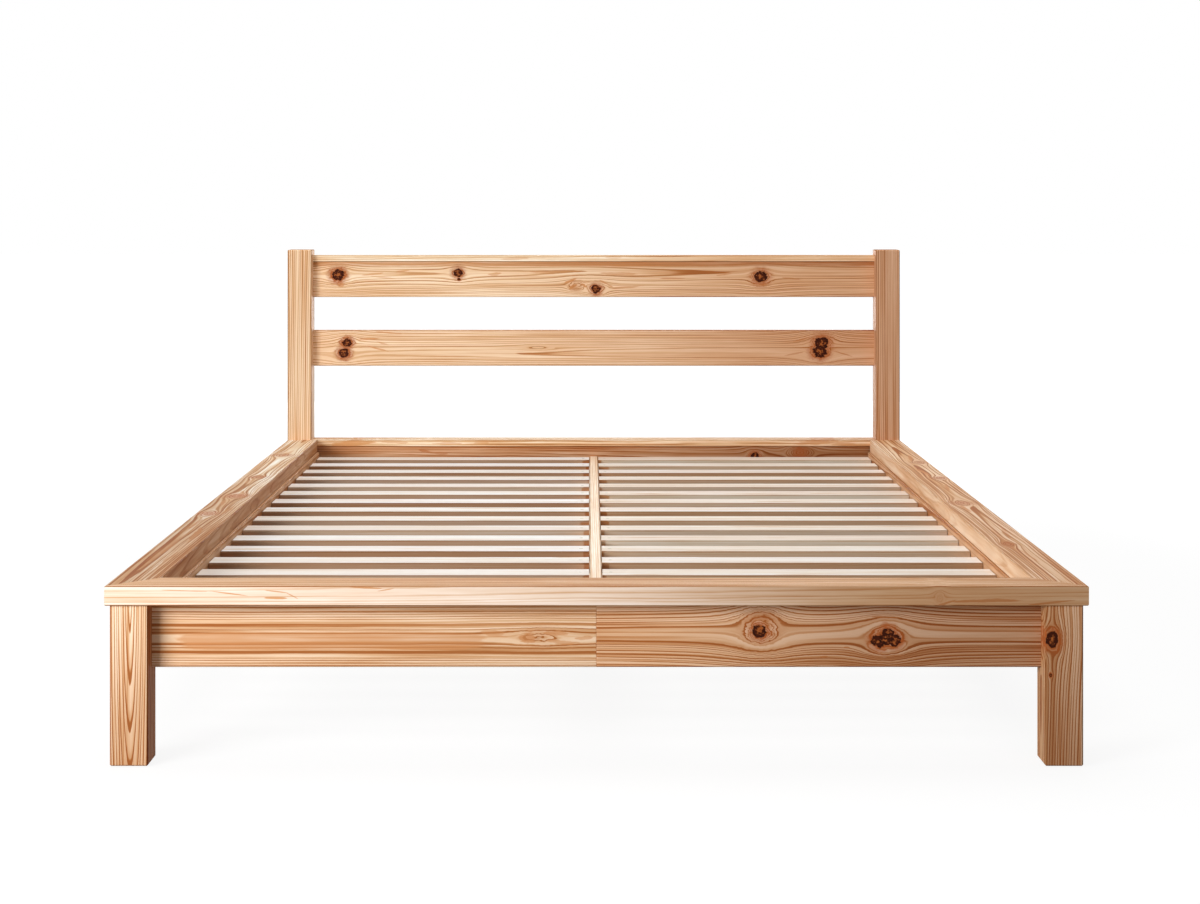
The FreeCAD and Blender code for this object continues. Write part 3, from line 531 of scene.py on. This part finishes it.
def dress_headboard():
    # Painted light in the tones: the left post is paler than the right, and the rails and strips darken
    # towards their right ends, where the light falls off.
    pine("headboard_post_left", UPRIGHT, 1.3, (248, 218, 184), pith=(0.06, 0.0), slope=(0.01, 0.01),
         ring=0.0046, contrast=1.5, streaks=0.08, wobble=0.003)
    pine("headboard_post_right", UPRIGHT, 2.1, (217, 173, 140), pith=(-0.05, -0.01), slope=(0.0, -0.01),
         ring=0.0044, contrast=1.4, streaks=0.08, wobble=0.004)
    pine("headboard_top_strip", ON_EDGE_ACROSS_BED, 3.7, (255, 237, 209), (241, 203, 164), pith=(0.02, 0.04),
         ring=0.0024, contrast=0.8, streaks=0.3, flecks=[
             fleck(-0.2, 0.741, 0.036, 0.0060, 0.02, 0.6), fleck(0.05, 0.744, 0.024, 0.0045, 0.0, 0.5),
         ])
    pine("headboard_top_rail", ON_EDGE_ACROSS_BED, 4.9, (254, 226, 193), (223, 178, 141), pith=(0.012, 0.006),
         slope=(0.004, 0.01), ring=0.0040, contrast=1.1, streaks=0.16, wobble=0.007, knots=[
             knot(-0.647, 0.699, 0.0125, flow=1.2, warm=1.3),
             knot(-0.343, 0.704, 0.0095, flow=1.2, stretch=1.8, warm=1.1),
             knot(-0.341, 0.688, 0.003, flow=1.2),
             knot(0.006, 0.663, 0.0095, flow=1.4, stretch=2.0),
             whorl(-0.045, 0.672, 0.009, flow=1.1, stretch=2.2, warm=0.25),
             knot(0.423, 0.694, 0.013, flow=1.2),
         ], flecks=[
             # a long darker band along the top of the rail: painted shadow under the overhanging top strip
             fleck(0.0, 0.7345, 2.0, 0.016, 0.0, 0.9, 2.0, 0.3),
             fleck(-0.64, 0.676, 0.010, 0.008, 0.0, 0.8), fleck(-0.56, 0.701, 0.03, 0.0030, 0.1, 1.0),
             fleck(-0.53, 0.692, 0.036, 0.0024, -0.1, 0.9), fleck(-0.49, 0.708, 0.026, 0.0026, 0.12, 0.9),
             fleck(-0.25, 0.701, 0.02, 0.0055, 0.05, 1.0), fleck(-0.13, 0.706, 0.036, 0.0043, -0.05, 0.8),
             fleck(-0.06, 0.684, 0.02, 0.004, 0.4, 0.9), fleck(0.03, 0.678, 0.02, 0.003, -0.5, 0.9),
             fleck(-0.052, 0.67, 0.012, 0.006, 0.6, 1.0, 2.0, 2.0),
             fleck(-0.026, 0.674, 0.01, 0.005, -0.7, 1.0, 2.0, 2.0),
             fleck(0.08, 0.668, 0.05, 0.0033, 0.08, 0.8), fleck(0.07, 0.702, 0.060, 0.0043, -0.03, 0.8),
             fleck(0.2, 0.69, 0.036, 0.0024, 0.0, 0.7), fleck(0.33, 0.7, 0.024, 0.0024, 0.1, 0.8),
             fleck(0.43, 0.676, 0.014, 0.005, 0.0, 0.7), fleck(0.5, 0.69, 0.03, 0.0024, -0.1, 0.7),
         ])
    pine("headboard_middle_rail", ON_EDGE_ACROSS_BED, 6.2, (253, 222, 188), (219, 172, 136),
         pith=(-0.012, 0.008), slope=(0.002, -0.006), ring=0.0038, contrast=0.9, streaks=0.14, knots=[
             knot(-0.624, 0.527, 0.0095, flow=1.3, warm=1.3),
             knot(-0.632, 0.501, 0.0105, flow=1.3, warm=1.3),
             whorl(-0.14, 0.515, 0.005, flow=1.2, stretch=7.0, warm=0.0),
             knot(0.577, 0.527, 0.014, flow=1.2),
             knot(0.573, 0.505, 0.014, flow=1.2),
         ], flecks=[
             # a long darker band along the top edge of the rail
             fleck(0.0, 0.56, 2.0, 0.004, 0.0, 0.5, 2.0, 0.3),
             fleck(-0.625, 0.541, 0.014, 0.006, 0.2, 0.8), fleck(-0.57, 0.537, 0.03, 0.0030, 0.05, 1.0),
             fleck(-0.545, 0.512, 0.03, 0.0024, -0.25, 0.9), fleck(-0.535, 0.526, 0.02, 0.0026, -0.3, 1.0),
             fleck(-0.52, 0.553, 0.04, 0.0022, -0.1, 0.8), fleck(0.53, 0.537, 0.026, 0.0022, 0.3, 0.8),
             fleck(0.63, 0.5, 0.03, 0.0022, -0.3, 0.8), fleck(0.51, 0.5, 0.03, 0.0022, 0.2, 0.8),
         ])
    pine("head_strip", ON_EDGE_ACROSS_BED, 7.4, (253, 227, 193), (231, 192, 154), pith=(0.03, 0.05),
         ring=0.0024, contrast=1.4, streaks=0.6, wobble=0.01, flecks=[
             fleck(-0.605, 0.277, 0.060, 0.0090, 0.06, 1.0), fleck(-0.5, 0.28, 0.036, 0.0060, -0.05, 0.8),
             fleck(-0.37, 0.276, 0.042, 0.0045, 0.03, 0.8), fleck(-0.28, 0.279, 0.024, 0.0060, 0.05, 0.7),
             fleck(0.56, 0.279, 0.060, 0.0075, 0.05, 0.8), fleck(0.63, 0.275, 0.036, 0.0060, 0.0, 0.6),
         ])
    pine("head_rail", ON_EDGE_ACROSS_BED, 8.8, (231, 186, 149), (175, 129, 95), pith=(0.02, 0.05),
         ring=0.0024, contrast=1.1, streaks=0.4, knots=[
             knot(0.406, 0.244, 0.008),
             whorl(0.52, 0.252, 0.01, flow=1.6, warm=0.6),
         ], flecks=[
             fleck(-0.42, 0.255, 0.024, 0.0045, -0.2, 0.8), fleck(-0.385, 0.25, 0.024, 0.0045, -0.1, 0.8),
         ])


def dress_foot_end():
    # Painted light in the tones: the left leg is paler than the right, and the right apron and the front cap
    # darken towards their right ends, where the light falls off. The left leg's narrow sides get a darker
    # edge_tone, partly the wood's own colour and partly painted shade for its inner side, which faces away
    # from the light. Both legs are also darker towards the bottom.
    pine("front_leg_left", UPRIGHT, 9.1, (217, 180, 146), (243, 214, 184), edge_tone=(200, 146, 104),
         pith=(0.002, -0.022), slope=(0.0, -0.05), ring=0.0035, contrast=2.4, wobble=0.002)
    pine("front_leg_right", UPRIGHT, 10.6, (204, 162, 129), (220, 180, 146), edge_tone=(203, 161, 121),
         pith=(-0.09, 0.0), slope=(0.02, -0.02), ring=0.004, contrast=2.0, wobble=0.003, knots=[
             knot(0.2, 0.714, 0.0105, flow=1.3, stretch=1.6),
             knot(0.144, 0.712, 0.0022, flow=1.3),
         ])
    pine("front_apron_left", ON_EDGE_ACROSS_BED, 11.9, (236, 204, 172), (238, 206, 173),
         pith=(-0.0105, 0.002), slope=(0.0, 0.002), ring=0.005, contrast=2.3, streaks=0.2, wobble=0.005,
         knots=[
             whorl(-0.09, 0.197, 0.012, flow=0.6, stretch=5.0, warm=0.1),
         ], flecks=[
             fleck(-0.42, 0.1915, 0.25, 0.0145, 0.0, 0.75, 8.0, 0.6),
             fleck(-0.165, 0.204, 0.028, 0.006, -0.1, 0.8, 2.0, 1.6),
             fleck(-0.108, 0.197, 0.014, 0.014, 0.0, 0.9, 2.0, 2.2),
             fleck(-0.06, 0.205, 0.026, 0.006, 0.15, 0.9, 2.0, 2.2),
             fleck(-0.05, 0.189, 0.032, 0.005, -0.1, 0.9, 2.0, 2.2),
             fleck(-0.02, 0.197, 0.018, 0.005, 0.2, 0.9, 2.0, 2.2),
         ])
    pine("front_apron_right", ON_EDGE_ACROSS_BED, 12.4, (235, 194, 157), (197, 155, 123), (0.9, 0.55),
         pith=(-0.004, 0.0), slope=(0.0, -0.002), ring=0.0036, contrast=2.0, streaks=0.2, wobble=0.006,
         knots=[
             whorl(0.26, 0.213, 0.016, flow=1.3, stretch=1.35, warm=0.3),
             knot(0.258, 0.207, 0.0095, flow=1.2, stretch=1.3),
             knot(0.446, 0.191, 0.0095, flow=1.2, stretch=1.4),
             knot(0.458, 0.194, 0.0085, flow=1.2, stretch=1.4),
             knot(0.471, 0.192, 0.0085, flow=1.4, stretch=1.6),
             knot(0.461, 0.204, 0.0085, flow=1.3, stretch=1.4),
         ], flecks=[
             fleck(0.443, 0.2298, 0.012, 0.0018, 0.0, 1.2), fleck(0.466, 0.2285, 0.026, 0.0011, -0.03, 1.2),
             fleck(0.456, 0.217, 0.008, 0.006, 0.0, 0.7), fleck(0.359, 0.1664, 0.008, 0.0018, 0.1, 1.2),
             fleck(0.396, 0.1812, 0.006, 0.0016, 0.0, 1.2), fleck(0.46, 0.168, 0.03, 0.0018, 0.05, 0.7),
         ])
    # The front cap's top is its narrow side here: its darker edge_tone is painted shade, as the top takes
    # less light than the front.
    pine("front_cap", ON_EDGE_ACROSS_BED, 13.3, (250, 230, 213), (199, 159, 122), (0.15, 0.62),
         edge_tone=(232, 199, 166), edge_contrast=1.6, pith=(0.03, 0.04), ring=0.0028, contrast=0.5,
         streaks=0.18, knots=[
             whorl(0.537, 0.266, 0.008, flow=1.2, stretch=0.8, warm=0.12),
         ], flecks=[
             fleck(-0.64, 0.2775, 0.05, 0.0009, -0.03, 1.0), fleck(-0.575, 0.2735, 0.035, 0.0011, -0.13, 1.0),
             fleck(-0.503, 0.2665, 0.02, 0.0022, -0.02, 1.2), fleck(-0.5, 0.2765, 0.025, 0.0011, -0.12, 1.0),
             fleck(-0.478, 0.271, 0.012, 0.0014, -0.5, 0.9), fleck(-0.36, 0.2825, 0.03, 0.0017, -0.05, 1.1),
             fleck(-0.33, 0.279, 0.016, 0.0012, 0.15, 0.9), fleck(0.61, 0.262, 0.06, 0.0035, 0.02, 0.8),
             fleck(0.545, 0.258, 0.02, 0.002, 0.3, 0.8), fleck(0.71, 0.259, 0.04, 0.002, 0.1, 0.8),
         ])
    # The left cap's narrow sides get a darker, browner edge_tone: painted shade for its inner face, which
    # faces away from the light.
    pine("side_cap_left", FLAT_ALONG_BED, 14.2, (206, 177, 149), (255, 244, 226), edge_tone=(203, 158, 120),
         edge_contrast=-1.7, pith=(-0.006, -0.002), slope=(0.012, 0.006), ring=0.0044, contrast=2.4,
         wobble=0.01, streaks=0.4, knots=[
             whorl(-0.27, -0.745, 0.014, stretch=3.0, warm=0.5),
             whorl(-0.03, -0.73, 0.016, warm=0.6),
             whorl(0.265, -0.733, 0.012, warm=0.6),
             whorl(0.66, -0.737, 0.016, warm=0.5),
         ], flecks=[
             fleck(-0.78, -0.72, 0.08, 0.004, 0.05, 1.0), fleck(-0.66, -0.74, 0.10, 0.004, 0.03, 1.0),
             fleck(-0.52, -0.722, 0.10, 0.006, -0.04, 1.0), fleck(-0.4, -0.745, 0.08, 0.004, 0.04, 1.0),
             fleck(-0.23, -0.715, 0.06, 0.005, 0.05, 0.9), fleck(-0.12, -0.742, 0.05, 0.005, -0.08, 0.9),
             fleck(0.0, -0.725, 0.05, 0.007, -0.1, 0.8), fleck(0.2, -0.74, 0.05, 0.006, 0.1, 0.8),
             fleck(0.45, -0.72, 0.06, 0.006, 0.0, 0.6), fleck(0.7, -0.73, 0.06, 0.007, 0.1, 0.6),
         ])
    pine("side_cap_right", FLAT_ALONG_BED, 15.7, (228, 193, 161), (238, 206, 172), edge_tone=(232, 196, 161),
         edge_contrast=-2.3, pith=(0.004, -0.004), slope=(-0.006, -0.008), ring=0.0045, contrast=2.6,
         wobble=0.01, streaks=0.3, knots=[
             whorl(-0.63, 0.724, 0.01, stretch=3.0, warm=0.3),
             whorl(-0.13, 0.732, 0.016, stretch=3.0, warm=0.5),
             whorl(0.25, 0.752, 0.012, warm=0.6),
             whorl(0.52, 0.748, 0.014, warm=0.5),
         ], flecks=[
             fleck(-0.75, 0.735, 0.08, 0.003, -0.05, 1.0), fleck(-0.5, 0.745, 0.08, 0.004, 0.05, 0.9),
             fleck(-0.2, 0.725, 0.06, 0.005, -0.05, 0.9), fleck(0.1, 0.74, 0.06, 0.005, 0.1, 1.0),
             fleck(0.35, 0.73, 0.06, 0.006, -0.1, 1.0), fleck(0.6, 0.74, 0.07, 0.006, 0.1, 1.0),
         ])


def dress_supports():
    """Boards and blocks that the front view hides, and the beam between the rows of slats."""
    for seed, name in ((16.1, "side_board_left"), (17.3, "side_board_right")):
        pine(name, ON_EDGE_ALONG_BED, seed, (242, 209, 175), pith=(0.01, 0.045), ring=0.0026, knots=[
            knot(-0.31 + 0.4 * (seed - 16), 0.19, 0.011),
            knot(0.52, 0.215, 0.008),
        ])
    for seed, name in ((18.6, "slat_rail_left"), (19.2, "slat_rail_right")):
        pine(name, ON_EDGE_ALONG_BED, seed, (217, 175, 138), pith=(0.02, 0.04), ring=0.0024)
    pine("centre_beam", FLAT_ALONG_BED, 20.4, (255, 238, 218), pith=(0.08, -0.02), contrast=0.7, ring=0.0034,
         wobble=0.002)
    pine("centre_leg", UPRIGHT, 21.5, (240, 209, 178), pith=(0.01, 0.03), ring=0.0018)
    pine("apron_splice_block", ON_EDGE_ACROSS_BED, 22.8, (231, 196, 162), pith=(0.01, 0.04), ring=0.0024)
    pine("mitre_tongues", FLAT_ALONG_BED, 23.1, (225, 190, 155), contrast=0.5)


def toned(tones, n, tint):
    """The nth of a few tones, which are used in turn, with a tint over it; for the slats the tint is the
    painted light of their row.
    """
    return tuple(min(255, value * share) for value, share in zip(tones[n % len(tones)], tint))


def dress_slats():
    """Pale slats. Each has its own rings and marks and a slightly different tone, which its number n spreads
    out so that neighbours differ. Their front and back edges are darker as painted shade, each row of slats
    has its own painted light, and a painted shadow darkens the inner end of each front edge."""
    names = sorted(name for name in nodes if name.startswith("slat_left_") or name.startswith("slat_right_"))
    for n, name in enumerate(names):
        low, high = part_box(name)
        side = -1 if "left" in name else 1
        mark_along = side * (0.12 + 0.4 * ((0.37 * n) % 1))
        mark_across = (low[1] + high[1]) / 2 + 0.02 * math.sin(5 * n)
        end_shade_length = 0.015 + 0.006 * math.sin(3 * n)
        pine(name, FLAT_ACROSS_BED, 30.0 + 1.37 * n, toned(SLAT_TONES, 3 * n, SLAT_ROW_LIGHT_TINTS[side]),
             edge_tone=toned(SLAT_EDGE_SHADE_TONES, 2 * n, SLAT_EDGE_ROW_LIGHT_TINTS[side]),
             pith=(0.03 * math.sin(2.4 * n), -0.04 - 0.03 * math.cos(1.7 * n)), slope=(0.0, 0.01),
             contrast=0.24, streaks=0.1, ring=0.003, flecks=[
                 fleck(mark_along, mark_across, 0.06, 0.0025, 0.02, 0.3),
                 # painted shadow at the inner end of the front edge, next to the beam
                 fleck(side * END_OF_ROW, low[1], end_shade_length, 0.007, 0.0, 1.1, 1.3, 1.6),
             ])


def plain_material(name, colour, roughness, scale, bump, metallic=0.0):
    """A ground colour with fine mottling and relief, for steel and felt."""
    material, g = new_material(name)
    place = g.node("ShaderNodeTexCoord").outputs["Object"]
    value, _ = g.noise(g.scaled(place, (scale, scale, scale)), 4.0, 0.6)
    base = g.mix(g.stretched(value, *MOTTLE, 0.0, DIRT_SHARE), linear(colour), DIRT)
    rough = g.stretched(value, *MOTTLE, *(roughness + change for change in ROUGHNESS_SPREAD))
    shader = add_shader(g, base, rough, value, PLAIN_SPECULAR, bump)
    shader.inputs["Metallic"].default_value = metallic
    return material


def dress_fittings():
    zinc = plain_material("zinc steel", (190, 192, 196), 0.38, 220.0, 0.15, 1.0)
    for name in ("beam_hangers", "bed_hook_plates", "bed_socket_plates"):
        wear(name, zinc)
    screws = plain_material("screw steel", (214, 206, 190), 0.45, 400.0, 0.1, 1.0)
    for name in ("wood_screws", "bracket_screws"):
        wear(name, screws)
    wear("foot_glides", plain_material("felt", (92, 84, 76), 0.9, 900.0, 0.9))


# ---- stage
def seen_directly(g):
    """1 where the camera, a reflection or clear glass sees a surface, and 0 where light bounces off it."""
    path = g.node("ShaderNodeLightPath")
    seen = g.math("MAXIMUM", path.outputs["Is Camera Ray"], path.outputs["Is Glossy Ray"])
    return g.math("MAXIMUM", seen, path.outputs["Is Transmission Ray"])


def add_floor():
    """A pale floor that keeps a soft shadow round the bed and runs out into the white background."""
    mesh = bpy.data.meshes.new("studio_floor")
    form = bmesh.new()
    bmesh.ops.create_grid(form, x_segments=4, y_segments=4, size=FLOOR_HALF)
    form.to_mesh(mesh)
    form.free()
    floor = bpy.data.objects.new("studio_floor", mesh)
    bpy.context.scene.collection.objects.link(floor)
    material, g = new_material("studio floor")
    seen = seen_directly(g)
    distance = g.node("ShaderNodeVectorMath", operation="LENGTH")
    g.feed(distance.inputs[0], g.node("ShaderNodeTexCoord").outputs["Object"])
    glow_level = g.stretched(distance.outputs["Value"], *FLOOR_FADE, *FLOOR_GLOW)
    grey = g.times(FLOOR_ALBEDO, g.minus(1.0, g.times(seen, 1.0 - FLOOR_SHADOW)))
    matt = g.node("ShaderNodeBsdfDiffuse", {"Color": g.vector(grey, grey, grey)})
    glow = g.node("ShaderNodeEmission", {"Strength": g.times(seen, glow_level)})
    both = g.node("ShaderNodeAddShader")
    g.feed(both.inputs[0], matt.outputs[0])
    g.feed(both.inputs[1], glow.outputs[0])
    g.node("ShaderNodeOutputMaterial", {"Surface": both.outputs[0]})
    mesh.materials.append(material)


def light_world():
    world = bpy.data.worlds.new("studio")
    bpy.context.scene.world = world
    world.use_nodes = True
    world.node_tree.nodes.clear()
    g = Graph(world.node_tree)
    strength = g.plus(g.times(seen_directly(g), 1.0 - AMBIENT), AMBIENT)
    background = g.node("ShaderNodeBackground", {"Color": (1.0, 1.0, 1.0, 1.0), "Strength": strength})
    g.node("ShaderNodeOutputWorld", {"Surface": background.outputs[0]})


def add_softbox(name, place, target, size, power):
    lamp = bpy.data.lights.new(name, "AREA")
    lamp.shape = "RECTANGLE"
    lamp.size, lamp.size_y = size
    lamp.energy = power
    holder = bpy.data.objects.new(name, lamp)
    bpy.context.scene.collection.objects.link(holder)
    holder.location = place
    holder.rotation_euler = (Vector(target) - Vector(place)).to_track_quat("-Z", "Y").to_euler()
    holder.visible_camera = False


def add_camera():
    lens = bpy.data.cameras.new("camera")
    lens.sensor_width = SENSOR_WIDTH
    lens.lens = SENSOR_WIDTH * FOCAL_PIXELS / IMAGE_WIDTH
    lens.shift_x = (IMAGE_CENTRE[0] - VANISHING_POINT[0]) / IMAGE_WIDTH
    lens.shift_y = (VANISHING_POINT[1] - IMAGE_CENTRE[1]) / IMAGE_WIDTH
    camera = bpy.data.objects.new("camera", lens)
    bpy.context.scene.collection.objects.link(camera)
    camera.location = CAMERA_PLACE
    camera.rotation_euler = (math.radians(90), 0, 0)
    bpy.context.scene.camera = camera


dress_headboard()
dress_foot_end()
dress_supports()
dress_slats()
dress_fittings()
add_floor()
light_world()
for softbox in SOFTBOXES:
    add_softbox(*softbox)
add_camera()
bpy.context.scene.view_settings.view_transform = "Standard"
